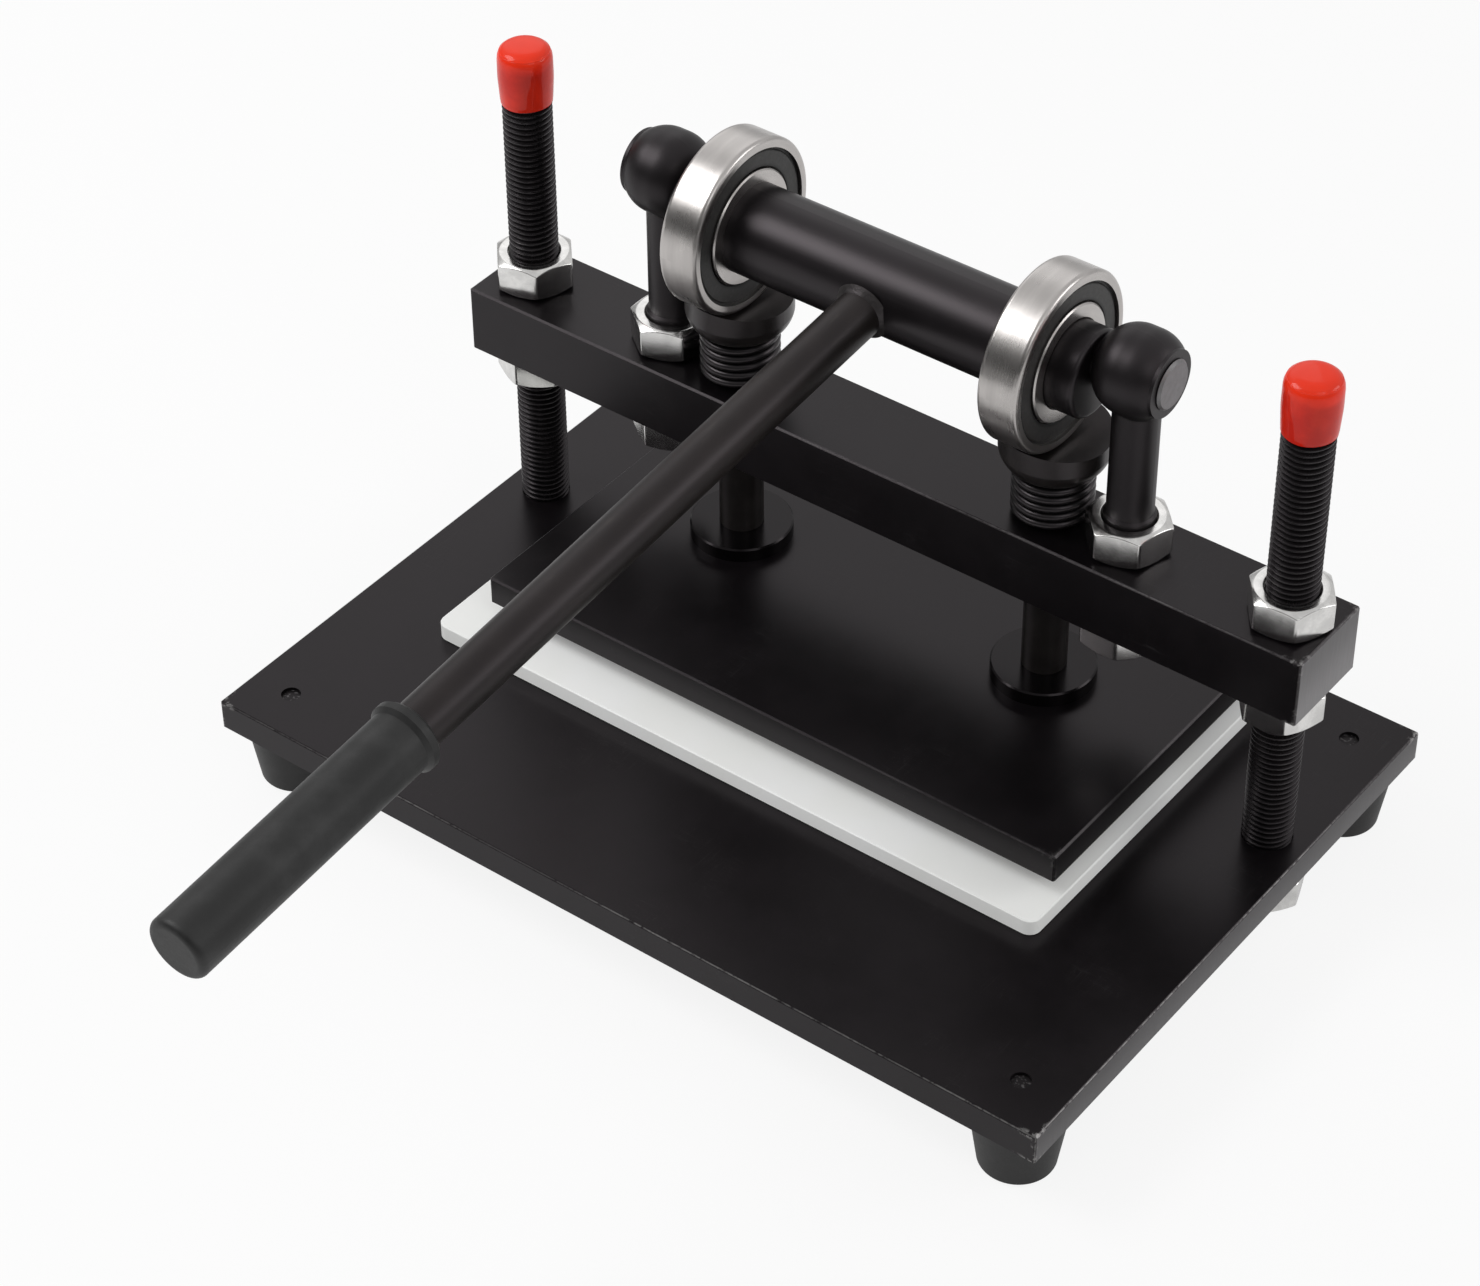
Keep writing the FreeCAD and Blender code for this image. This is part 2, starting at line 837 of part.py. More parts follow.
def pieces():
    result = {
        "base_plate": base_plate(),
        "foot_screws": foot_screws(),
        "beam": beam(),
        "eccentric_shaft": eccentric_shaft(),
        "lever_bar": lever_bar(),
        "lever_weld_bead": lever_weld_bead(),
        "lever_grip": lever_grip(),
        "press_plate": press_plate(),
        "plate_screws": plate_screws(),
        "cutting_board": cutting_board(),
    }
    for word, side in sides.items():
        result[f"column_{word}"] = column(side)
        result[f"column_cap_{word}"] = column_cap(side)
        result[f"eye_rod_{word}"] = eye_rod(side)
        result[f"bearing_outer_ring_{word}"] = outer_ring(side)
        result[f"bearing_inner_ring_{word}"] = inner_ring(side)
        result[f"bearing_seals_{word}"] = seals(side)
        result[f"bearing_balls_{word}"] = balls(side)
        result[f"bearing_cage_{word}"] = cage(side)
        result[f"plunger_{word}"] = plunger(side)
        result[f"plunger_flange_{word}"] = flange(side)
        result[f"return_spring_{word}"] = spring(side)
        for place, end in ends.items():
            result[f"foot_{place}_{word}"] = foot(side, end)
    result.update(nuts())
    return result


def main():
    os.makedirs("parts", exist_ok=True)
    for word, side in sides.items():
        print(f"return spring {word}: least gap between turns {least_self_gap(side):.2f} mm")
    for name, shape in pieces().items():
        shape.exportStep(f"parts/{name}.step")


main()
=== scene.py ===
import json
import math

import bmesh
import bpy
import numpy as np
from bpy.props import FloatProperty, FloatVectorProperty, IntProperty, PointerProperty
from mathutils import Matrix, Vector

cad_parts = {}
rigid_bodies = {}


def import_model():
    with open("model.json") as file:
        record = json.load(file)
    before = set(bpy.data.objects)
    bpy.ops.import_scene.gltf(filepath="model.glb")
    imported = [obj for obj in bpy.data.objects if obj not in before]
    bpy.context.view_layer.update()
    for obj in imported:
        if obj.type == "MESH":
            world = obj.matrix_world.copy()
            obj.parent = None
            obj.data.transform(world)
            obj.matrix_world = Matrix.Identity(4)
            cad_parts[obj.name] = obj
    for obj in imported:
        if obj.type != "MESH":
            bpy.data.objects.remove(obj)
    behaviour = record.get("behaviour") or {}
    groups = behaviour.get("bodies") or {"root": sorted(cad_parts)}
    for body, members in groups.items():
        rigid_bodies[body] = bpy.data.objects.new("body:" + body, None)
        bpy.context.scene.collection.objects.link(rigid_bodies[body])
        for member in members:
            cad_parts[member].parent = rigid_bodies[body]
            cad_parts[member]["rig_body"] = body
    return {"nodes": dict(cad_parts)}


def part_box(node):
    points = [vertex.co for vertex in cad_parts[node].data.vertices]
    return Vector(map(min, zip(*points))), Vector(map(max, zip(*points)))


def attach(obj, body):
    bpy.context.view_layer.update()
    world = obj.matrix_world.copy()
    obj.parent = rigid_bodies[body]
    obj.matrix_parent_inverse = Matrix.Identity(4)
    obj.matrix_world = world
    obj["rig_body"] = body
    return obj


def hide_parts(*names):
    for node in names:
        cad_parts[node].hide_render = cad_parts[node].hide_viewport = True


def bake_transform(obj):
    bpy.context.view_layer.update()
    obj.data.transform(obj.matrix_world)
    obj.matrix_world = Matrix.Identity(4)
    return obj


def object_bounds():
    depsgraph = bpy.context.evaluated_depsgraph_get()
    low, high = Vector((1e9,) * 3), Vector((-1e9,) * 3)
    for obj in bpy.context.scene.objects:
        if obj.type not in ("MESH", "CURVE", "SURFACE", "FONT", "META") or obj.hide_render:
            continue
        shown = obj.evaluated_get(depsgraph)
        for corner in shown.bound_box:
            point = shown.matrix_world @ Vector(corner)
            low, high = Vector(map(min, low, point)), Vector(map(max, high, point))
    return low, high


bl_info = {
    "name": "Hand Lever Embossing Press",
    "version": (1, 0, 0),
    "blender": (4, 5, 0),
    "location": "3D View > Sidebar > Press",
    "description": "Surfaces, finishes and studio for a bench press that embosses leather belts",
    "category": "Object",
}

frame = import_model()
nodes = frame["nodes"]
cad_low, cad_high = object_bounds()
MM = 0.001
MERGED = 0.004 * MM
COLLAPSED = 0.001 * MM
SIDES = {"left": -1, "right": 1}
WARM_REFLECTION = (1.0, 0.9, 0.95, 1.0)


# Meshes from arrays


def grid_faces(rows, columns, wrap_rows, wrap_columns, lead):
    """Quads between neighbouring rows and columns. Where columns wrap, the last column joins
    the first one lead rows further on, which carries a thread or coil round its seam."""
    row, column = np.meshgrid(
        np.arange(rows if wrap_rows else rows - 1),
        np.arange(columns if wrap_columns else columns - 1),
        indexing="ij",
    )
    row, column = row.ravel(), column.ravel()
    shift = np.where(column + 1 == columns, lead, 0)
    kept = wrap_rows | (row + 1 + shift < rows)
    row, column, shift = row[kept], column[kept], shift[kept]
    across = (column + 1) % columns
    here, above = row % rows, (row + 1) % rows
    here_across, above_across = (row + shift) % rows, (row + 1 + shift) % rows
    return np.stack(
        [
            here * columns + column,
            here_across * columns + across,
            above_across * columns + across,
            above * columns + column,
        ],
        axis=1,
    )


def piece(name, grids, body, replaced, sharp_angle=math.radians(32)):
    """One object from grids of points, each (points, wrap_rows, wrap_columns, lead). Doubles are
    merged, so seams and poles close, and faces are turned outwards. It rides on the body, if one
    is given."""
    points, faces, start = [], [], 0
    for grid, wrap_rows, wrap_columns, lead in grids:
        rows, columns = grid.shape[:2]
        points.append(grid.reshape(-1, 3))
        faces.append(grid_faces(rows, columns, wrap_rows, wrap_columns, lead) + start)
        start += rows * columns
    mesh = bpy.data.meshes.new(name)
    mesh.from_pydata(np.vstack(points).tolist(), [], np.vstack(faces).tolist())
    shell = bmesh.new()
    shell.from_mesh(mesh)
    bmesh.ops.remove_doubles(shell, verts=shell.verts, dist=MERGED)
    bmesh.ops.dissolve_degenerate(shell, edges=shell.edges, dist=COLLAPSED)
    bmesh.ops.recalc_face_normals(shell, faces=shell.faces)
    shell.to_mesh(mesh)
    shell.free()
    mesh.shade_smooth()
    mesh.set_sharp_from_angle(angle=sharp_angle)
    made = bpy.data.objects.new(name, mesh)
    bpy.context.scene.collection.objects.link(made)
    if body:
        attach(made, body)
    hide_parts(replaced)
    return made


def softened(corners, rounds, steps=4):
    """Profile whose corners are rounded: each corner p becomes the curve
    (1-s)^2 (p - a) + 2 s (1-s) p + s^2 (p + b), where a and b are the round's length along the
    two sides that meet there. corners has shape (corners, angles, 2)."""
    s = np.linspace(0, 1, steps + 1)[:, None, None]
    rows = []
    last = len(corners) - 1
    for index, (corner, bend) in enumerate(zip(corners, rounds)):
        if bend == 0 or index in (0, last):
            rows.append(corner[None])
            continue
        back = corners[index - 1] - corner
        ahead = corners[index + 1] - corner
        back = back * (bend / np.linalg.norm(back, axis=-1, keepdims=True))
        ahead = ahead * (bend / np.linalg.norm(ahead, axis=-1, keepdims=True))
        rows.append(corner + (1 - s) ** 2 * back + s**2 * ahead)
    return np.concatenate(rows)


def profile(points, steps=4):
    """Softened profile from (radius, distance, round) rows, in millimetres."""
    table = np.array(points, float)
    return softened(table[:, None, :2], table[:, 2], steps) * MM


def turned(outline, angles, centre, axis):
    """Surface of revolution: point = centre + distance * axis + radius * (cos t * first
    + sin t * second), for each angle t. outline has shape (rows, 1 or angles, 2)."""
    axis = np.array(axis, float)
    first = np.array([0, 0, 1.0]) if axis[2] == 0 else np.array([1.0, 0, 0])
    second = np.cross(axis, first)
    ring = np.cos(angles)[:, None] * first + np.sin(angles)[:, None] * second
    radius, distance = outline[..., 0, None], outline[..., 1, None]
    return np.array(centre) + distance * axis + radius * ring


def full_turn(count):
    """Evenly spaced angles round one turn."""
    return np.arange(count) * 2 * math.pi / count


def middle_of(node):
    """Centre of a CAD node's box."""
    low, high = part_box(node)
    return np.array((low + high) / 2)


# Shader maths


class Channel:
    """A node's output. Python's operators on one that holds a number add Math nodes."""

    def __init__(self, tree, socket):
        self.tree = tree
        self.socket = socket

    def math(self, operation, *others):
        inputs = dict(enumerate((self, *others)))
        return self.tree.node("ShaderNodeMath", {"operation": operation}, inputs)

    def __add__(self, other):
        return self.math("ADD", other)

    def __sub__(self, other):
        return self.math("SUBTRACT", other)

    def __rsub__(self, other):
        return self.tree.node("ShaderNodeMath", {"operation": "SUBTRACT"}, {0: other, 1: self})

    def __mul__(self, other):
        return self.math("MULTIPLY", other)

    def __pow__(self, other):
        return self.math("POWER", other)

    def __abs__(self):
        return self.math("ABSOLUTE")

    __radd__ = __add__
    __rmul__ = __mul__

    def least(self, other):
        return self.math("MINIMUM", other)

    def most(self, other):
        return self.math("MAXIMUM", other)

    def rise(self, start, end):
        """0 before start, 1 after end, smooth between; falls where end is below start."""
        settings = {"interpolation_type": "SMOOTHSTEP"}
        if start < end:
            return self.tree.node("ShaderNodeMapRange", settings, {0: self, 1: start, 2: end})
        return 1 - self.tree.node("ShaderNodeMapRange", settings, {0: self, 1: end, 2: start})


class Tree:
    """The emptied node tree of a material or world, and the one way to add nodes to it."""

    def __init__(self, owner):
        owner.use_nodes = True
        self.nodes = owner.node_tree.nodes
        self.links = owner.node_tree.links
        self.nodes.clear()

    def node(self, kind, settings, inputs, output=0):
        """Adds a node, its settings first, then the values or links of its sockets. Gives the
        output asked for, or the node itself where output is None."""
        made = self.nodes.new(kind)
        for key, value in settings.items():
            setattr(made, key, value)
        for key, value in inputs.items():
            self.feed(made.inputs[key], value)
        return made if output is None else Channel(self, made.outputs[output])

    def feed(self, socket, value):
        """Links a channel to a socket, or sets the socket to a value."""
        if isinstance(value, Channel):
            self.links.new(value.socket, socket)
        elif hasattr(value, "__len__") and len(value) == 3 and len(socket.default_value) == 4:
            socket.default_value = (*value, 1)
        else:
            socket.default_value = value

    def parts(self, place):
        """The three coordinates of a place."""
        split = self.node("ShaderNodeSeparateXYZ", {}, {0: place})
        return [Channel(self, socket) for socket in split.socket.node.outputs]

    def rays(self, *kinds):
        """1 for rays of each kind, and 0 for the others."""
        path = self.node("ShaderNodeLightPath", {}, {}).socket.node
        return [Channel(self, path.outputs[kind]) for kind in kinds]


class Finish(Tree):
    """A material with one principled surface; its pattern is in Object coordinates, in metres."""

    def __init__(self, name, **constants):
        self.material = bpy.data.materials.new(name)
        super().__init__(self.material)
        self.surface = self.node("ShaderNodeBsdfPrincipled", {}, {})
        self.output = self.node("ShaderNodeOutputMaterial", {}, {0: self.surface}, None)
        self.place = self.node("ShaderNodeTexCoord", {}, {}, "Object")
        self.set(**constants)

    def set(self, **sockets):
        """Feeds the principled surface; a name's underscores stand for spaces."""
        for key, value in sockets.items():
            self.feed(self.surface.socket.node.inputs[key.replace("_", " ")], value)

    def joined(self, x, y, z):
        """A place made from three numbers."""
        return self.node("ShaderNodeCombineXYZ", {}, {0: x, 1: y, 2: z})

    def centred(self, centre):
        """The place, measured from a centre."""
        inputs = {"Vector": self.place, "Location": tuple(-float(part) for part in centre)}
        return self.node("ShaderNodeMapping", {"vector_type": "POINT"}, inputs)

    def round_x(self, centre):
        """Distance along, radius and angle about a line along X through centre."""
        along, across, up = self.parts(self.centred(centre))
        radius = (across * across + up * up) ** 0.5
        return along, radius, up.math("ARCTAN2", across)

    def round_z(self, centre):
        """Height, radius and angle about an upright line through centre."""
        right, back, height = self.parts(self.centred(centre))
        radius = (right * right + back * back) ** 0.5
        return height, radius, back.math("ARCTAN2", right)

    def noise(self, scale, detail, roughness, place=None, distortion=0.0):
        """Noise from 0 to 1, of so many features a metre, or a unit of the place given."""
        inputs = {
            "Vector": place or self.place,
            "Scale": scale,
            "Detail": detail,
            "Roughness": roughness,
            "Distortion": distortion,
        }
        return self.node("ShaderNodeTexNoise", {}, inputs)

    def scaled(self, x, y, z):
        """The place, multiplied along its axes."""
        settings = {"operation": "MULTIPLY"}
        return self.node("ShaderNodeVectorMath", settings, {0: self.place, 1: (x, y, z)})

    def blend(self, share, first, second):
        """First colour where share is 0 and second where it is 1."""
        inputs = {0: share, 6: first, 7: second}
        return self.node("ShaderNodeMix", {"data_type": "RGBA"}, inputs, 2)

    def bump(self, height, depth, strength):
        """Bump from a height channel, depth in millimetres."""
        inputs = {"Strength": strength, "Distance": depth * MM, "Height": height}
        return self.node("ShaderNodeBump", {}, inputs)


def shaded(colour, share):
    """A colour, each part multiplied by a share."""
    return tuple(part * share for part in colour)


def paint(names, finish):
    """Gives CAD nodes or pieces one finish."""
    for name in names:
        target = nodes.get(name) or bpy.data.objects[name]
        target.data.materials.clear()
        target.data.materials.append(finish.material)


def edge_distances(finish, low, high):
    """How far a point on a box's surface lies from the nearest edge and from the nearest corner:
    the middle and the largest of its distances to the box's three pairs of sides."""
    x, y, z = finish.parts(finish.place)
    away = []
    for channel, start, end in zip((x, y, z), low, high):
        away.append((end - start) / 2 - abs(channel - (start + end) / 2))
    near, far = away[0].least(away[1]), away[0].most(away[1])
    return near.most(far.least(away[2])), far.most(away[2])


def satin_black(name, colour, roughness, level, mottle):
    """Black paint: a little cloudy in tone and gloss, with a fine skin. Its reflection is faintly
    warm, and mottle says how many clouds fit in a metre."""
    finish = Finish(name, Specular_IOR_Level=level, Specular_Tint=WARM_REFLECTION)
    cloud = finish.noise(mottle, 4.0, 0.6)
    skin = finish.noise(1600.0, 2.0, 0.6)
    finish.skin = skin
    finish.colour = finish.blend(cloud.rise(0.35, 0.7), shaded(colour, 0.6), tuple(colour))
    finish.gloss = roughness + (cloud - 0.5) * 0.08 + (skin - 0.5) * 0.06
    finish.set(Base_Color=finish.colour, Roughness=finish.gloss)
    finish.set(Normal=finish.bump(skin, 0.02, 0.35))
    return finish


def plate_paint(name, node, looks, wear_left, wear_right, end_grey_and_sheen):
    """Satin black paint on a plate, rubbed along its edges more at one end than at the other,
    chipped at some corners, and lighter grey on its ends, more so towards the bottom: partly thin paint
    on sawn ends, partly a painted reflection."""
    low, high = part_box(node)
    finish = satin_black(name, looks.paint, looks.paint_roughness, looks.paint_reflection, 45.0)
    edge, corner = edge_distances(finish, low, high)
    x, _, z = finish.parts(finish.place)
    stretch = finish.noise(14.0, 3.0, 0.55)
    grit = finish.noise(420.0, 4.0, 0.65)
    edge_wear = wear_left + x.rise(low.x, high.x) * (wear_right - wear_left)
    rubbed = edge.rise(0.75 * MM, 0.35 * MM) * (stretch.rise(0.38, 0.62) * 0.7 + 0.3)
    near_corner = edge.rise(2.4 * MM, 0.8 * MM) * corner.rise(11 * MM, 3 * MM)
    line = rubbed * grit.rise(0.3, 0.55)
    chip = near_corner * grit.rise(0.5, 0.58)
    worn = line.most(chip) * edge_wear
    scratches = fine_scratches(finish)
    dust = finish.noise(2600.0, 1.0, 0.5).rise(0.74, 0.80) * stretch.rise(0.45, 0.65)
    base = finish.blend(scratches * 0.25, finish.colour, tuple(looks.scuff))
    base = finish.blend(dust * 0.3, base, tuple(looks.dust))
    # Painted reflection and thin paint: the ends are made lighter grey, more towards the bottom.
    sawn = finish.noise(1.0, 3.0, 0.6, finish.scaled(0.0, 900.0, 60.0))
    fall = z.rise(high.z, low.z) * 0.6 + 0.4
    half = (high.x - low.x) / 2
    end = abs(x - (low.x + half)).rise(half - 0.3 * MM, half)
    end = end * fall * (0.75 + sawn * 0.5) * end_grey_and_sheen
    base = finish.blend(end, base, tuple(looks.sawn_end_and_sheen))
    base = finish.blend(worn, base, tuple(looks.bare_edge))
    finish.set(Base_Color=base, Metallic=worn * 0.6)
    finish.set(Roughness=finish.gloss + scratches * 0.1 + dust * 0.3)
    height = finish.skin * 0.6 - worn * 0.5 - scratches * 0.3
    finish.set(Normal=finish.bump(height, 0.03, 0.4))
    return finish


def fine_scratches(finish):
    """Sparse thin lines: two stretched noises, each kept only where it passes its middle value
    in a narrow band, broken up by a coarse noise."""
    gate = finish.noise(28.0, 2.0, 0.5).rise(0.52, 0.66)
    total = None
    for stretch in ((900.0, 26.0, 300.0), (40.0, 800.0, 300.0)):
        line = finish.noise(1.0, 1.0, 0.4, finish.scaled(*stretch), 0.4)
        thin = 1 - abs(line - 0.5).rise(0.0, 0.012)
        total = thin if total is None else total.most(thin)
    return total * gate


def steel(name, colour, roughness):
    """Steel with faint stains that change its tone and gloss."""
    finish = Finish(name, Metallic=1.0)
    stain = finish.noise(60.0, 4.0, 0.6)
    finish.set(Base_Color=finish.blend(stain.rise(0.35, 0.75), shaded(colour, 0.843), tuple(colour)))
    finish.set(Roughness=roughness + (stain - 0.5) * 0.08)
    return finish


# What a user would change


class PressSizes(bpy.types.PropertyGroup):
    """Sizes of the surfaces that are worked out here."""

    thread_pitch: FloatProperty(
        name="Thread pitch", description="Rise of the column thread in one turn",
        default=2.5 * MM, unit="LENGTH", precision=5,
    )
    thread_depth: FloatProperty(
        name="Thread depth", description="Depth of the column thread",
        default=1.35 * MM, unit="LENGTH", precision=5,
    )
    nut_flats: FloatProperty(
        name="Across flats", description="Width of each nut across its flats",
        default=30.0 * MM, unit="LENGTH", precision=5,
    )
    spring_wire: FloatProperty(
        name="Spring wire", description="Diameter of the return springs' wire",
        default=3.3 * MM, unit="LENGTH", precision=5,
    )
    spring_turns: IntProperty(
        name="Spring turns", description="Turns of each return spring", default=5,
    )
    spring_start: FloatProperty(
        name="Spring start", description="Where each spring's lower end lies about its stem",
        default=math.radians(60), subtype="ANGLE",
    )


class PressLooks(bpy.types.PropertyGroup):
    """Colours and gloss of the finishes."""

    paint: FloatVectorProperty(
        name="Paint", description="Black paint on plates and beam",
        default=(0.0050, 0.0040, 0.0048), subtype="COLOR", min=0, max=1,
    )
    paint_roughness: FloatProperty(
        name="Paint roughness", description="How matt the black paint is",
        default=0.30, subtype="FACTOR", min=0, max=1,
    )
    paint_reflection: FloatProperty(
        name="Paint reflection", description="How strongly the black paint reflects",
        default=0.27, subtype="FACTOR", min=0, max=1,
    )
    bare_edge: FloatVectorProperty(
        name="Bare edge", description="Metal that shows where paint is rubbed off",
        default=(0.30, 0.295, 0.29), subtype="COLOR", min=0, max=1,
    )
    # Lighter grey for the ends: thin paint on sawn ends, and a painted reflection.
    sawn_end_and_sheen: FloatVectorProperty(
        name="Sawn end", description="Thin grey paint on the sawn ends of the beam",
        default=(0.19, 0.184, 0.188), subtype="COLOR", min=0, max=1,
    )
    scuff: FloatVectorProperty(
        name="Scuff", description="Colour of fine scratches in the paint",
        default=(0.04, 0.04, 0.04), subtype="COLOR", min=0, max=1,
    )
    dust: FloatVectorProperty(
        name="Dust", description="Pale specks on the paint",
        default=(0.2, 0.2, 0.2), subtype="COLOR", min=0, max=1,
    )
    column: FloatVectorProperty(
        name="Columns", description="Blackened thread of the columns",
        default=(0.006, 0.0054, 0.0057), subtype="COLOR", min=0, max=1,
    )
    shaft: FloatVectorProperty(
        name="Shaft", description="Paint on the eccentric shaft",
        default=(0.0056, 0.0046, 0.0052), subtype="COLOR", min=0, max=1,
    )
    journal_end: FloatVectorProperty(
        name="Journal ends", description="Bare turned ends of the shaft",
        default=(0.26, 0.258, 0.26), subtype="COLOR", min=0, max=1,
    )
    eye_rod: FloatVectorProperty(
        name="Eye rods", description="Paint on the eye rods",
        default=(0.0065, 0.0056, 0.006), subtype="COLOR", min=0, max=1,
    )
    lever: FloatVectorProperty(
        name="Lever", description="Paint on the lever bar",
        default=(0.0135, 0.0110, 0.0098), subtype="COLOR", min=0, max=1,
    )
    lever_marks: FloatVectorProperty(
        name="Lever marks", description="Rubbed marks along the lever bar",
        default=(0.05, 0.044, 0.036), subtype="COLOR", min=0, max=1,
    )
    weld: FloatVectorProperty(
        name="Weld", description="Painted weld at the lever's root",
        default=(0.03, 0.028, 0.027), subtype="COLOR", min=0, max=1,
    )
    grip: FloatVectorProperty(
        name="Grip", description="Rubber of the grip",
        default=(0.014, 0.014, 0.014), subtype="COLOR", min=0, max=1,
    )
    foot: FloatVectorProperty(
        name="Feet", description="Rubber of the feet",
        default=(0.009, 0.0085, 0.0086), subtype="COLOR", min=0, max=1,
    )
    plunger: FloatVectorProperty(
        name="Plungers", description="Gloss black of the plungers",
        default=(0.017, 0.015, 0.0142), subtype="COLOR", min=0, max=1,
    )
    flange: FloatVectorProperty(
        name="Flanges", description="Gloss black of the flanges",
        default=(0.003, 0.0026, 0.0028), subtype="COLOR", min=0, max=1,
    )
    spring: FloatVectorProperty(
        name="Springs", description="Black spring wire",
        default=(0.008, 0.0076, 0.0078), subtype="COLOR", min=0, max=1,
    )
    foot_screw: FloatVectorProperty(
        name="Foot screws", description="Black of the screws in the feet",
        default=(0.004, 0.0038, 0.004), subtype="COLOR", min=0, max=1,
    )
    screw_fleck: FloatVectorProperty(
        name="Screw flecks", description="Metal that shows on the foot screws",
        default=(0.09, 0.086, 0.088), subtype="COLOR", min=0, max=1,
    )
    plate_screw: FloatVectorProperty(
        name="Plate screws", description="Steel of the screws in the press plate",
        default=(0.474, 0.464, 0.445), subtype="COLOR", min=0, max=1,
    )
    seal: FloatVectorProperty(
        name="Seals", description="Rubber of the bearing seals",
        default=(0.05, 0.048, 0.047), subtype="COLOR", min=0, max=1,
    )
    zinc: FloatVectorProperty(
        name="Zinc", description="Plating on the nuts",
        default=(0.82, 0.81, 0.795), subtype="COLOR", min=0, max=1,
    )
    bearing: FloatVectorProperty(
        name="Bearing steel", description="Ground steel of the bearing rings",
        default=(0.54, 0.515, 0.50), subtype="COLOR", min=0, max=1,
    )
    cap: FloatVectorProperty(
        name="Caps", description="Soft plastic caps on the columns",
        default=(0.80, 0.026, 0.007), subtype="COLOR", min=0, max=1,
    )
    board: FloatVectorProperty(
        name="Board", description="White cutting board",
        default=(0.88, 0.885, 0.88), subtype="COLOR", min=0, max=1,
    )


class PressStudio(bpy.types.PropertyGroup):
    """Camera and light."""

    azimuth: FloatProperty(
        name="Azimuth", description="Camera's turn about the press; 0 looks along +Y",
        default=math.radians(37.608), subtype="ANGLE",
    )
    elevation: FloatProperty(
        name="Elevation", description="Camera's height angle",
        default=math.radians(40.525), subtype="ANGLE",
    )
    roll: FloatProperty(
        name="Roll", description="Camera's turn about its own line of sight",
        default=math.radians(-0.595), subtype="ANGLE",
    )
    distance: FloatProperty(
        name="Distance", description="From the camera to the point that it looks at",
        default=1625.03 * MM, unit="LENGTH",
    )
    target: FloatVectorProperty(
        name="Target", description="Point that the camera looks at",
        default=(-50.79 * MM, 17.42 * MM, 40.0 * MM), subtype="TRANSLATION",
    )
    lens: FloatProperty(
        name="Lens", description="Focal length on a 36 mm sensor, in millimetres",
        default=98.17,
    )
    floor_colour: FloatVectorProperty(
        name="Floor", description="Pale floor and background",
        default=(0.95, 0.95, 0.95), subtype="COLOR", min=0, max=1,
    )


# Operators, one for each group of like pieces


class PRESS_OT_plates(bpy.types.Operator):
    """Paint the base plate, the beam and the press plate"""

    bl_idname = "press.plates"
    bl_label = "Plates"

    def execute(self, context):
        looks = context.scene.press_looks
        # Each row: node, edge wear at the left and at the right, and how strongly the ends are painted
        # lighter.
        for node, *wear in (
            ("base_plate", 0.6, 0.75, 0.45),
            ("beam", 0.05, 0.5, 1.0),
            ("press_plate", 0.05, 0.15, 0.1),
        ):
            paint([node], plate_paint(f"{node}_paint", node, looks, *wear))
        return {"FINISHED"}


class PRESS_OT_columns(bpy.types.Operator):
    """Cut the thread on both columns"""

    bl_idname = "press.columns"
    bl_label = "Columns"

    def execute(self, context):
        sizes = context.scene.press_sizes
        finish = satin_black("column_black", context.scene.press_looks.column, 0.26, 0.42, 45.0)
        for side in SIDES:
            made = thread_piece(f"column_thread_{side}", f"column_{side}", sizes)
            paint([made.name], finish)
        return {"FINISHED"}


def thread_piece(name, node, sizes):
    """Threaded rod: radius = outer - depth * valley(height / pitch - angle / turn), where valley
    goes smoothly from 0 on the crest to 1 in the root. crest and flank are shares of half a
    pitch. Rows climb with the thread, so crests are clean. Both ends are chamfered down to
    end_cut, a little below the root."""
    low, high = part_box(node)
    centre = middle_of(node)
    outer = (high.x - low.x) / 2
    pitch, depth = sizes.thread_pitch, sizes.thread_depth
    crest, flank, below_root = 0.14, 0.66, 0.15 * MM
    per_turn, around = 8, 56
    turns = int((high.z - low.z) / pitch) + 2
    rows = np.arange((turns + 1) * per_turn + 1)[:, None]
    angles = full_turn(around)[None, :]
    height = low.z - pitch + pitch * (rows / per_turn + angles / (2 * math.pi))
    phase = rows / per_turn % 1.0
    valley = np.clip((1 - crest - 2 * abs(phase - 0.5)) / flank, 0, 1)
    valley = valley * valley * (3 - 2 * valley)
    radius = outer - depth * valley
    end_cut = outer - depth - below_root
    from_end = np.minimum(height - low.z, high.z - height)
    radius = np.minimum(radius, np.maximum(end_cut, end_cut + from_end))
    height = np.clip(height, low.z, high.z)
    points = np.stack(
        [
            centre[0] + radius * np.cos(angles),
            centre[1] + radius * np.sin(angles),
            np.broadcast_to(height, radius.shape),
        ],
        axis=-1,
    )
    grids = [(points, False, True, per_turn)]
    disc = np.array([[0.0, 0.0], [end_cut, 0.0]])[:, None]
    for level in (low.z, high.z):
        lid = turned(disc, full_turn(around), (centre[0], centre[1], level), (0, 0, 1))
        grids.append((lid, False, True, 0))
    return piece(name, grids, "frame", node)


class PRESS_OT_nuts(bpy.types.Operator):
    """Form every hexagon nut with its turned chamfers"""

    bl_idname = "press.nuts"
    bl_label = "Nuts"

    def execute(self, context):
        looks = context.scene.press_looks
        flats = context.scene.press_sizes.nut_flats
        for node in [name for name in nodes if "nut" in name]:
            body = nodes[node]["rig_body"]
            made = nut_piece(f"{node}_form", node, flats, body)
            paint([made.name], zinc_finish(f"{node}_zinc", node, looks))
        return {"FINISHED"}


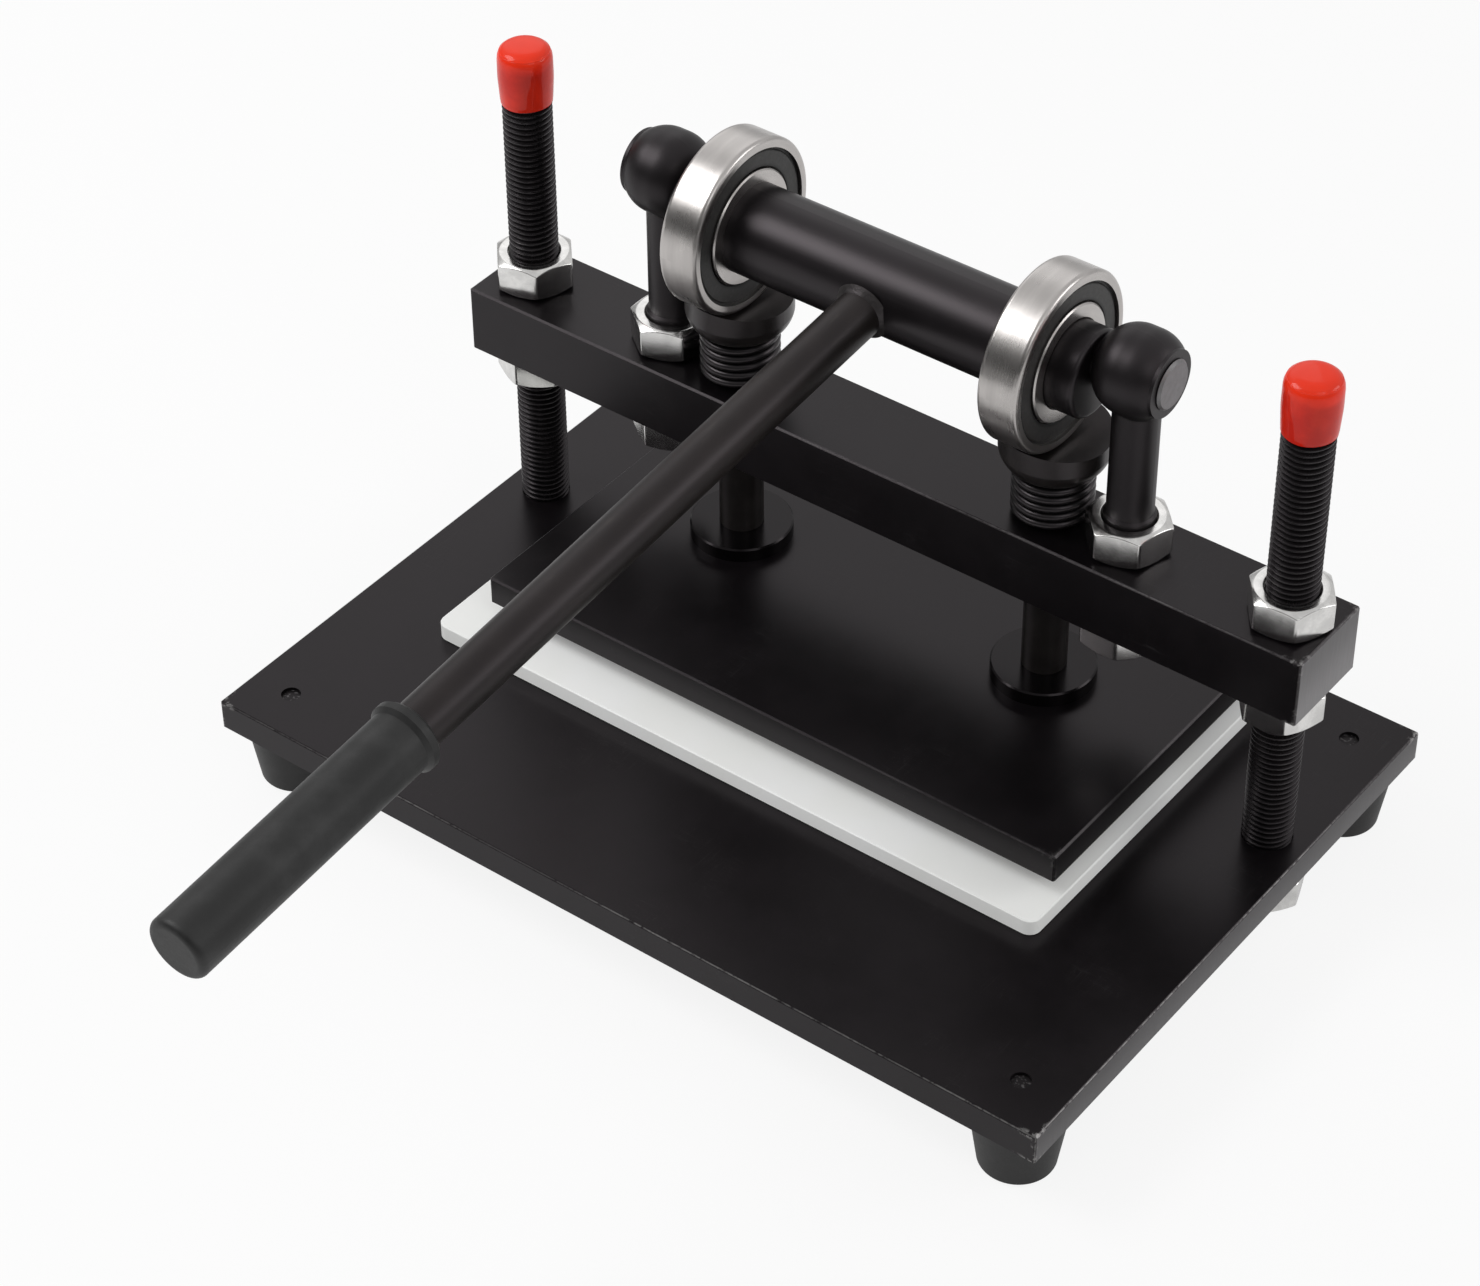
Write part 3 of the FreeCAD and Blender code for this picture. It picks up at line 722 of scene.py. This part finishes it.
def nut_piece(name, node, flats, body):
    """Hexagon nut: for each angle the flank stands at apothem / cos(angle from the flat's
    middle), and a 30 degree cone cuts both faces, so the flank's top follows the cone. fall is
    how far the cone has dropped at the flank. It would be corner_fall at sharp corners, but
    they are blunted to a share of their radius."""
    low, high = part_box(node)
    centre = middle_of(node)
    height = (high.z - low.z) / MM
    apothem = flats / 2 / MM
    offsets = np.radians([-30, -29.4, -28.5, -26, -20, -10, 0, 10, 20, 26, 28.5, 29.4])
    turn = hexagon_turn(node, centre)
    angles = (turn + np.radians(30 + 60 * np.arange(6))[:, None] + offsets[None]).ravel()
    from_flat = np.tile(offsets, 6)
    cone = math.tan(math.radians(30))
    bore, sink = 10.05, 0.85
    corner_fall, blunt = 1.9, 0.988
    corner = apothem / math.cos(math.radians(30))
    flank = np.minimum(apothem / np.cos(from_flat), corner * blunt)
    face = corner - corner_fall / cone
    fall = (flank - face) * cone
    ones = np.ones_like(flank)
    rows = [
        (bore * ones, sink * ones, 0.0),
        ((bore + sink) * ones, 0 * ones, 0.2),
        (face * ones, 0 * ones, 0.5),
        (flank, fall, 0.35),
        (flank, height - fall, 0.35),
        (face * ones, height * ones, 0.5),
        ((bore + sink) * ones, height * ones, 0.2),
        (bore * ones, (height - sink) * ones, 0.0),
        (bore * ones, height / 2 * ones, 0.0),
    ]
    corners = np.array([np.stack(row[:2], axis=-1) for row in rows])
    outline = softened(corners, [row[2] for row in rows]) * MM
    points = turned(outline, angles, (centre[0], centre[1], low.z), (0, 0, 1))
    return piece(name, [(points, True, True, 0)], body, node, math.radians(40))


def hexagon_turn(node, centre):
    """Angle of one corner of a CAD nut, read from its outermost points."""
    points = np.zeros(len(nodes[node].data.vertices) * 3)
    nodes[node].data.vertices.foreach_get("co", points)
    points = points.reshape(-1, 3) - centre
    radius = np.hypot(points[:, 0], points[:, 1])
    far = points[radius > radius.max() - 0.01 * MM]
    sixfold = np.exp(6j * np.arctan2(far[:, 1], far[:, 0])).mean()
    return float(np.angle(sixfold)) / 6


def zinc_finish(name, node, looks):
    """Zinc plated steel: bright and smooth, a little cloudy, with turned lines on its faces."""
    finish = Finish(name, Metallic=1.0)
    height, radius, angle = finish.round_z(middle_of(node))
    turned_lines = finish.noise(1.0, 2.0, 0.5, finish.joined(radius * 3600.0, angle * 1.5, 0.0))
    drawn_lines = finish.noise(1.0, 2.0, 0.5, finish.joined(angle * 90.0, height * 40.0, 0.0))
    cloud = finish.noise(130.0, 4.0, 0.65)
    grain = turned_lines * 0.5 + drawn_lines * 0.5
    zinc = tuple(looks.zinc)
    base = finish.blend(cloud.rise(0.35, 0.7), shaded(zinc, 0.8), zinc)
    spots = finish.noise(800.0, 3.0, 0.6).rise(0.66, 0.76)
    finish.set(Base_Color=finish.blend(spots * 0.3, base, shaded(zinc, 0.42)))
    finish.set(Roughness=0.13 + cloud * 0.09 + grain * 0.06)
    dents = finish.noise(300.0, 3.0, 0.6)
    finish.set(Normal=finish.bump(grain * 0.4 + dents * 0.6, 0.03, 0.35))
    return finish


class PRESS_OT_caps(bpy.types.Operator):
    """Shape the soft caps on the columns"""

    bl_idname = "press.caps"
    bl_label = "Caps"

    def execute(self, context):
        looks = context.scene.press_looks
        for side in SIDES:
            made = cap_piece(side)
            paint([made.name], cap_finish(side, tuple(looks.cap)))
        return {"FINISHED"}


def cap_piece(side):
    """Dipped plastic cap: a turned dome whose wall bulges a little, so radius = profile *
    (1 - squeeze * wave of the angle * share of the way down). The lip rises by up to lip_lift
    with the same wave, over the lowest lip_share of the height."""
    node = f"column_cap_{side}"
    low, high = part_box(node)
    centre = middle_of(node)
    outer = (high.x - low.x) / 2 / MM
    height = (high.z - low.z) / MM
    bore = 10.1
    squeeze, lip_lift, lip_share = 0.012, 0.5 * MM, 0.12
    rows = profile(
        [
            (0, height, 0),
            (outer - 0.35, height - 0.3, 5.6),
            (outer - 0.15, height * 0.45, 2.0),
            (outer - 0.75, 0.9, 1.0),
            (outer - 1.0, 0.0, 0.35),
            (bore, 0.0, 0.2),
            (bore, height - 2.0, 0.4),
            (0, height - 1.9, 0),
        ],
        6,
    )
    angles = full_turn(96)
    shift = SIDES[side]
    wave = 0.5 + 0.5 * np.sin(angles * 2 + shift) * np.cos(angles + 2 * shift)
    radius, level = rows[..., 0], rows[..., 1] / (height * MM)
    outside = radius > (bore + 0.2) * MM
    pinched = 1 - squeeze * wave * np.clip(1 - level, 0, 1)
    lifted = lip_lift * wave * np.clip(1 - level / lip_share, 0, 1)
    outline = np.stack([radius * np.where(outside, pinched, 1), rows[..., 1] + lifted], axis=-1)
    points = turned(outline, angles, (centre[0], centre[1], low.z), (0, 0, 1))
    grids = [(points, False, True, 0)]
    return piece(f"cap_{side}", grids, "frame", node, math.radians(60))


def cap_finish(side, red):
    """Soft red plastic, with painted light: lighter and more orange towards the top, as if lit from
    above, and a painted dark reflection down one side, towards the front."""
    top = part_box(f"column_cap_{side}")[1].z
    dark_band_side = math.radians(-31.5)
    finish = Finish(f"cap_{side}_plastic", Specular_IOR_Level=0.1, Coat_Roughness=0.07)
    cloud = finish.noise(90.0, 3.0, 0.55)
    streak = finish.noise(1.0, 2.0, 0.5, finish.scaled(420.0, 420.0, 40.0))
    height, _, angle = finish.round_z((*middle_of(f"column_cap_{side}")[:2], 0))
    deep = (red[0] * 0.78, red[1] * 0.5, red[2] * 0.5)
    painted_top_light = (1.0, red[1] * 1.5, red[2])
    # Painted dark reflection: a darker band down one side of the wall, at a fixed angle towards the
    # front.
    painted_dark_band = abs(angle - dark_band_side).rise(0.9, 0.2) * height.rise(top - 6 * MM, top - 9 * MM)
    wall = finish.blend(cloud.rise(0.3, 0.7), deep, red)
    wall = finish.blend(painted_dark_band * 0.45, wall, shaded(red, 0.4))
    # Painted light: the top is made lighter and more orange, as if lit from above.
    bright = height.rise(top - 8 * MM, top - 1 * MM)
    finish.set(Base_Color=finish.blend(bright * 0.8, wall, painted_top_light))
    finish.set(Roughness=0.38 + cloud * 0.08, Coat_Weight=0.45)
    finish.set(Normal=finish.bump(cloud + streak * 0.4, 0.10, 0.5))
    return finish


class PRESS_OT_bearings(bpy.types.Operator):
    """Finish the bearing rings, seals, balls and cages"""

    bl_idname = "press.bearings"
    bl_label = "Bearings"

    def execute(self, context):
        looks = context.scene.press_looks
        for side in SIDES:
            centre = middle_of(f"bearing_outer_ring_{side}")
            steels = [f"bearing_{part}_{side}" for part in ("outer_ring", "inner_ring", "balls", "cage")]
            paint(steels, ring_finish(f"bearing_{side}_steel", centre, tuple(looks.bearing)))
            seals = seal_finish(f"seal_{side}_rubber", centre, tuple(looks.seal))
            paint([f"bearing_seals_{side}"], seals)
        return {"FINISHED"}


def ring_finish(name, centre, colour):
    """Ground steel whose fine grain runs round the ring: noise of distance along the axis and of
    radius, nearly constant with angle."""
    finish = Finish(name, Metallic=1.0)
    along, radius, angle = finish.round_x(centre)
    fine = finish.noise(1.0, 3.0, 0.6, finish.joined(along * 2600.0, radius * 2600.0, angle * 2.0))
    broad = finish.noise(1.0, 3.0, 0.5, finish.joined(along * 300.0, radius * 300.0, angle * 1.5))
    smudge = finish.noise(60.0, 4.0, 0.6)
    finish.set(Base_Color=finish.blend(broad.rise(0.35, 0.7), shaded(colour, 0.9), colour))
    finish.set(Roughness=0.25 + fine * 0.05 + smudge.rise(0.4, 0.7) * 0.06)
    finish.set(Normal=finish.bump(fine, 0.006, 0.3))
    return finish


def seal_finish(name, centre, colour):
    """Dark grey moulded rubber with faint rings, and painted shade, blacker towards its rim and its lip,
    in the gaps beside the rings.
    """
    middle, start, end = 27.9 * MM, 2.2 * MM, 3.4 * MM
    finish = Finish(name, Specular_IOR_Level=0.35)
    _, radius, angle = finish.round_x(centre)
    rings = finish.noise(1.0, 2.0, 0.5, finish.joined(radius * 1500.0, angle * 1.0, 0.0))
    dust = finish.noise(500.0, 4.0, 0.7)
    # Painted shade: blacker near the rim and the lip, in the gaps beside the rings.
    edge = abs(radius - middle).rise(start, end)
    face = finish.blend(dust.rise(0.4, 0.75), shaded(colour, 0.63), colour)
    finish.set(Base_Color=finish.blend(edge, face, shaded(colour, 0.16)))
    finish.set(Roughness=0.42 + rings * 0.12)
    finish.set(Normal=finish.bump(rings, 0.03, 0.35))
    return finish


class PRESS_OT_shaft(bpy.types.Operator):
    """Paint the eccentric shaft, with its bare journal ends"""

    bl_idname = "press.shaft"
    bl_label = "Shaft"

    def execute(self, context):
        looks = context.scene.press_looks
        finish = satin_black("shaft_paint", looks.shaft, 0.35, 0.42, 30.0)
        low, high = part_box("eccentric_shaft")
        x = finish.parts(finish.place)[0]
        from_end = (high.x - low.x) / 2 - abs(x - (low.x + high.x) / 2)
        bare = from_end.rise(1.15 * MM, 0.9 * MM)
        turned_face = finish.noise(380.0, 3.0, 0.6)
        bright = tuple(looks.journal_end)
        metal = finish.blend(turned_face, shaded(bright, 0.615), bright)
        finish.set(Base_Color=finish.blend(bare, finish.colour, metal), Metallic=bare * 0.6)
        finish.set(Roughness=finish.gloss + bare * 0.12)
        paint(["eccentric_shaft"], finish)
        return {"FINISHED"}


class PRESS_OT_eye_rods(bpy.types.Operator):
    """Paint the eye rods"""

    bl_idname = "press.eye_rods"
    bl_label = "Eye rods"

    def execute(self, context):
        looks = context.scene.press_looks
        finish = satin_black("eye_rod_paint", looks.eye_rod, 0.42, 0.4, 60.0)
        paint([f"eye_rod_{side}" for side in SIDES], finish)
        return {"FINISHED"}


class PRESS_OT_lever(bpy.types.Operator):
    """Paint the lever bar and its weld, and finish the grip"""

    bl_idname = "press.lever"
    bl_label = "Lever"

    def execute(self, context):
        looks = context.scene.press_looks
        bar = satin_black("lever_paint", looks.lever, 0.42, 0.36, 35.0)
        marks = bar.noise(1.0, 3.0, 0.6, bar.scaled(260.0, 30.0, 260.0)).rise(0.6, 0.78)
        bar.set(Base_Color=bar.blend(marks * 0.35, bar.colour, tuple(looks.lever_marks)))
        paint(["lever_bar"], bar)
        weld = satin_black("weld_paint", looks.weld, 0.4, 0.45, 300.0)
        ripple = weld.noise(420.0, 2.0, 0.5)
        weld.set(Normal=weld.bump(ripple, 0.4, 0.7))
        paint(["lever_weld_bead"], weld)
        paint(["lever_grip"], rubber_finish("grip_rubber", tuple(looks.grip)))
        return {"FINISHED"}


def rubber_finish(name, colour):
    """Matt black rubber with a fine moulded skin and a little pale bloom."""
    finish = Finish(name, Specular_IOR_Level=0.4)
    skin = finish.noise(900.0, 3.0, 0.6)
    bloom = finish.noise(55.0, 4.0, 0.6)
    finish.set(Base_Color=finish.blend(bloom.rise(0.4, 0.8), colour, shaded(colour, 2.2)))
    finish.set(Roughness=0.5 + (skin - 0.5) * 0.15)
    finish.set(Normal=finish.bump(skin, 0.06, 0.5))
    return finish


class PRESS_OT_press_head(bpy.types.Operator):
    """Finish the plungers, flanges and plate screws"""

    bl_idname = "press.press_head"
    bl_label = "Press head"

    def execute(self, context):
        looks = context.scene.press_looks
        gloss = satin_black("plunger_black", looks.plunger, 0.3, 0.4, 80.0)
        collar = satin_black("flange_black", looks.flange, 0.2, 0.2, 80.0)
        for side in SIDES:
            paint([f"plunger_{side}"], gloss)
            paint([f"plunger_flange_{side}"], collar)
        paint(["plate_screws"], steel("screw_steel", looks.plate_screw, 0.4))
        return {"FINISHED"}


class PRESS_OT_springs(bpy.types.Operator):
    """Coil the return springs"""

    bl_idname = "press.springs"
    bl_label = "Return springs"

    def execute(self, context):
        sizes = context.scene.press_sizes
        looks = context.scene.press_looks
        finish = satin_black("spring_black", looks.spring, 0.32, 0.5, 200.0)
        for side in SIDES:
            made = spring_piece(side, sizes)
            paint([made.name], finish)
        return {"FINISHED"}


def spring_piece(side, sizes):
    """Coiled wire: the centre line is (R cos t, R sin t, rise * t), and a circle of the wire's
    radius is carried along it in the plane of the outward and upward directions. One more ring
    of radius 0 closes each end."""
    node = f"return_spring_{side}"
    low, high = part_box(node)
    centre = middle_of(f"plunger_{side}")
    wire = sizes.spring_wire / 2
    coil = (high.x - low.x) / 2 - wire
    around, per_turn = 14, 48
    along = per_turn * sizes.spring_turns + 1
    t = np.linspace(0, 2 * math.pi * sizes.spring_turns, along)
    turn = t + sizes.spring_start
    rise = (high.z - low.z - 2 * wire) / t[-1]
    outward = np.stack([np.cos(turn), np.sin(turn), 0 * turn], axis=-1)
    forward = np.stack([-coil * np.sin(turn), coil * np.cos(turn), rise + 0 * turn], axis=-1)
    forward /= np.linalg.norm(forward, axis=1, keepdims=True)
    upward = np.cross(forward, outward)
    line = outward * coil + np.stack([0 * t, 0 * t, rise * t], axis=-1)
    line += np.array([centre[0], centre[1], low.z + wire])
    circle = full_turn(around)[None, :, None]
    radius = np.full(along + 2, wire)
    radius[[0, -1]] = 0
    line = np.concatenate([line[:1], line, line[-1:]])
    outward = np.concatenate([outward[:1], outward, outward[-1:]])
    upward = np.concatenate([upward[:1], upward, upward[-1:]])
    ring = np.cos(circle) * outward[:, None] + np.sin(circle) * upward[:, None]
    points = line[:, None] + radius[:, None, None] * ring
    made = piece(f"spring_coil_{side}", [(points, False, True, 0)], None, node)
    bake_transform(made)
    return made


class PRESS_OT_feet(bpy.types.Operator):
    """Finish the rubber feet and the screws that hold them"""

    bl_idname = "press.feet"
    bl_label = "Feet"

    def execute(self, context):
        looks = context.scene.press_looks
        feet = [name for name in nodes if name.startswith("foot_") and name != "foot_screws"]
        paint(feet, rubber_finish("foot_rubber", tuple(looks.foot)))
        screw = satin_black("foot_screw_black", looks.foot_screw, 0.5, 0.3, 400.0)
        flecks = screw.noise(700.0, 3.0, 0.6).rise(0.54, 0.62)
        screw.set(Base_Color=screw.blend(flecks, screw.colour, tuple(looks.screw_fleck)))
        paint(["foot_screws"], screw)
        return {"FINISHED"}


class PRESS_OT_board(bpy.types.Operator):
    """Finish the white cutting board, with a faint painted glow that makes it lighter"""

    bl_idname = "press.board"
    bl_label = "Cutting board"

    def execute(self, context):
        looks = context.scene.press_looks
        # Painted glow: a faint emission in the board's own colour lightens it, though it is no lamp.
        finish = Finish("board_plastic", Specular_IOR_Level=0.4, Emission_Strength=0.2)
        cloud = finish.noise(25.0, 4.0, 0.55)
        grain = finish.noise(1500.0, 2.0, 0.6)
        cuts = fine_scratches(finish)
        white = tuple(looks.board)
        warm = (white[0] * 0.97, white[1] * 0.97, white[2] * 0.955)
        base = finish.blend(cloud.rise(0.35, 0.7), warm, white)
        finish.set(Base_Color=finish.blend(cuts * 0.3, base, shaded(white, 0.68)), Emission_Color=base)
        finish.set(Roughness=0.42 + (grain - 0.5) * 0.12)
        finish.set(Normal=finish.bump(grain - cuts * 0.8, 0.03, 0.4))
        paint(["cutting_board"], finish)
        return {"FINISHED"}


class PRESS_OT_stage(bpy.types.Operator):
    """Set the floor, the lamps, the world and the camera"""

    bl_idname = "press.stage"
    bl_label = "Stage"

    def execute(self, context):
        studio = context.scene.press_studio
        stage_floor(studio)
        stage_world(context.scene)
        stage_lamps()
        stage_camera(context.scene, studio)
        context.scene.view_settings.view_transform = "Standard"
        return {"FINISHED"}


def stage_floor(studio):
    """Level floor at the feet, seen nearly white and keeping the soft shadow. Its own glow
    takes the given shares of what the camera and what glossy surfaces see."""
    reach, ground = 4.0, cad_low.z
    glow_seen, glow_reflected = 0.87, 0.4
    corners = [(-reach, -reach), (reach, -reach), (reach, reach), (-reach, reach)]
    mesh = bpy.data.meshes.new("floor")
    mesh.from_pydata([(x, y, ground) for x, y in corners], [], [(0, 1, 2, 3)])
    floor = bpy.data.objects.new("floor", mesh)
    bpy.context.scene.collection.objects.link(floor)
    finish = Finish("floor_white", Roughness=0.9, Specular_IOR_Level=0.1)
    finish.set(Base_Color=tuple(studio.floor_colour))
    camera, glossy, clear = finish.rays("Is Camera Ray", "Is Glossy Ray", "Is Transmission Ray")
    glow = finish.node("ShaderNodeEmission", {}, {"Strength": 1.0})
    seen = (camera.most(clear) * glow_seen).most(glossy * glow_reflected)
    mixed = finish.node("ShaderNodeMixShader", {}, {0: seen, 1: finish.surface, 2: glow})
    finish.feed(finish.output.inputs[0], mixed)
    floor.data.materials.append(finish.material)


def stage_world(scene):
    """Plain light from all round, seen as white behind the press. Glossy surfaces see it fall
    from a bright ceiling to a dim room in front: strength = dim + bright * smooth step of
    (upwards + half of backwards)."""
    dim, bright, soft = 0.064, 0.64, 0.4
    scene.world = bpy.data.worlds.new("studio")
    sky = Tree(scene.world)
    camera, glossy, clear = sky.rays("Is Camera Ray", "Is Glossy Ray", "Is Transmission Ray")
    _, back, up = sky.parts(sky.node("ShaderNodeTexCoord", {}, {}, "Generated"))
    room = (up + back * 0.5).rise(-0.2, 0.9) * bright + dim
    seen = camera.most(clear)
    strength = seen + (1 - seen) * (glossy * room + (1 - glossy) * soft)
    light = sky.node("ShaderNodeBackground", {}, {"Color": (1, 1, 1), "Strength": strength})
    sky.node("ShaderNodeOutputWorld", {}, {0: light}, None)


def stage_lamps():
    """Large soft lamps, each (name, place, size across, size up, watts), aimed at the shaft."""
    aim = Vector((0, 0, 0.12))
    for name, place, across, up, watts in (
        ("key", (-1.1, -0.7, 1.5), 1.1, 0.9, 16.0),
        ("fill", (1.4, -0.6, 1.3), 0.8, 0.8, 3.0),
        ("back", (-1.25, 1.2, 1.35), 1.6, 1.2, 3.0),
        ("side", (1.5, 1.0, 0.9), 0.9, 0.7, 6.0),
    ):
        data = bpy.data.lights.new(name, "AREA")
        data.shape = "RECTANGLE"
        data.size, data.size_y, data.energy = across, up, watts
        lamp = bpy.data.objects.new(name, data)
        lamp.location = place
        lamp.rotation_euler = (aim - Vector(place)).to_track_quat("-Z", "Y").to_euler()
        bpy.context.scene.collection.objects.link(lamp)


def stage_camera(scene, studio):
    """Camera at the photographed angle, turned about its line of sight by the roll."""
    a, e, r = studio.azimuth, studio.elevation, studio.roll
    back = Vector((math.sin(a) * math.cos(e), -math.cos(a) * math.cos(e), math.sin(e)))
    level = Vector((math.cos(a), math.sin(a), 0))
    upright = back.cross(level)
    right = level * math.cos(r) + upright * math.sin(r)
    up = upright * math.cos(r) - level * math.sin(r)
    data = bpy.data.cameras.new("camera")
    data.lens = studio.lens
    camera = bpy.data.objects.new("camera", data)
    place = Vector(studio.target) + back * studio.distance
    columns = [*zip(right, up, back, place), (0, 0, 0, 1)]
    camera.matrix_world = Matrix(columns)
    scene.collection.objects.link(camera)
    scene.camera = camera


STEPS = (
    PRESS_OT_plates, PRESS_OT_columns, PRESS_OT_nuts, PRESS_OT_caps, PRESS_OT_bearings,
    PRESS_OT_shaft, PRESS_OT_eye_rods, PRESS_OT_lever, PRESS_OT_press_head, PRESS_OT_springs,
    PRESS_OT_feet, PRESS_OT_board, PRESS_OT_stage,
)


class PRESS_PT_sidebar(bpy.types.Panel):
    """Sizes, looks and one button for each group of pieces"""

    bl_label = "Embossing press"
    bl_space_type = "VIEW_3D"
    bl_region_type = "UI"
    bl_category = "Press"

    def draw(self, context):
        scene = context.scene
        for group in (scene.press_sizes, scene.press_looks, scene.press_studio):
            box = self.layout.box()
            for key in group.__annotations__:
                box.prop(group, key)
        for step in STEPS:
            self.layout.operator(step.bl_idname)


CLASSES = (PressSizes, PressLooks, PressStudio, *STEPS, PRESS_PT_sidebar)


def register():
    for each in CLASSES:
        bpy.utils.register_class(each)
    bpy.types.Scene.press_sizes = PointerProperty(type=PressSizes)
    bpy.types.Scene.press_looks = PointerProperty(type=PressLooks)
    bpy.types.Scene.press_studio = PointerProperty(type=PressStudio)


def unregister():
    del bpy.types.Scene.press_studio
    del bpy.types.Scene.press_looks
    del bpy.types.Scene.press_sizes
    for each in reversed(CLASSES):
        bpy.utils.unregister_class(each)


def main():
    register()
    for step in STEPS:
        group, call = step.bl_idname.split(".")
        getattr(getattr(bpy.ops, group), call)()


if __name__ == "__main__":
    main()
